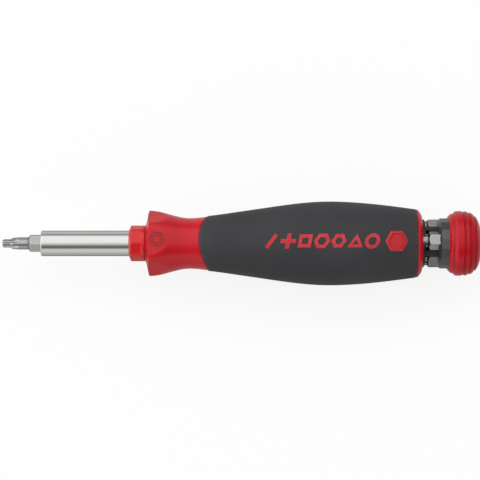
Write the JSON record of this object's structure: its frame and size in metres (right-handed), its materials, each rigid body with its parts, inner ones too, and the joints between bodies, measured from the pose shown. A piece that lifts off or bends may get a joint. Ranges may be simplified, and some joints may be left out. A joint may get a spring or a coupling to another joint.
{
  "type": "pocket screwdriver",
  "caption": "Screwdriver with a soft waisted grip, a bit in a magnetic blade sleeve, and a bit magazine that slides out of the handle behind a ribbed cap.",
  "frame": {"origin": "on the tool axis where the blade sleeve reaches its full diameter behind its mouth", "axes": "+X along the tool axis from the tip towards the end cap; +Z out of the flange flat and the hexagon boss that face up; +Y completes the right-handed frame"},
  "size_m": [0.1837, 0.0322, 0.0322],
  "materials": {
    "bit_steel": "fine-ground tool steel, satin",
    "sleeve_chrome": "bright drawn steel",
    "hidden_steel": "plain steel",
    "magnet": "sintered magnet",
    "red_plastic": "moulded, half gloss",
    "soft_grip": "matt moulded elastomer",
    "black_plastic": "moulded",
    "grey_plastic": "moulded",
    "ring_rubber": "moulded"
  },
  "bodies": {
    "handle": {"bit_clip_ring": "hidden_steel", "blade_sleeve": "sleeve_chrome", "blade_magnet": "magnet", "blade_shank": "hidden_steel", "nose_collar": "red_plastic", "handle_core": "red_plastic", "soft_grip": "soft_grip"},
    "blade_bit": {"bit_six_lobe": "bit_steel"},
    "detent": {"detent_ring": "ring_rubber"},
    "magazine": {"magazine_cage": "black_plastic", "magazine_collar": "grey_plastic", "end_cap": "red_plastic"},
    "spare_phillips": {"bit_phillips": "bit_steel"},
    "spare_slotted": {"bit_slotted": "bit_steel"},
    "spare_pozidriv": {"bit_pozidriv": "bit_steel"}
  },
  "joints": [
    {"name": "blade_bit_pull", "type": "slide", "parent": "handle", "child": "blade_bit", "axis": [-1, 0, 0], "range_m": [0, 0.0107]},
    {"name": "magazine_turn", "type": "hinge", "parent": "handle", "child": "detent", "pos_m": [0.1374, 0, 0], "axis": [1, 0, 0], "continuous": true},
    {"name": "magazine_slide", "type": "slide", "parent": "detent", "child": "magazine", "axis": [1, 0, 0], "range_m": [-0.01015, 0.03]},
    {"name": "phillips_pull", "type": "slide", "parent": "magazine", "child": "spare_phillips", "axis": [-1, 0, 0], "range_m": [0, 0.0172]},
    {"name": "slotted_pull", "type": "slide", "parent": "magazine", "child": "spare_slotted", "axis": [-1, 0, 0], "range_m": [0, 0.0172]},
    {"name": "pozidriv_pull", "type": "slide", "parent": "magazine", "child": "spare_pozidriv", "axis": [-1, 0, 0], "range_m": [0, 0.0172]}
  ]
}
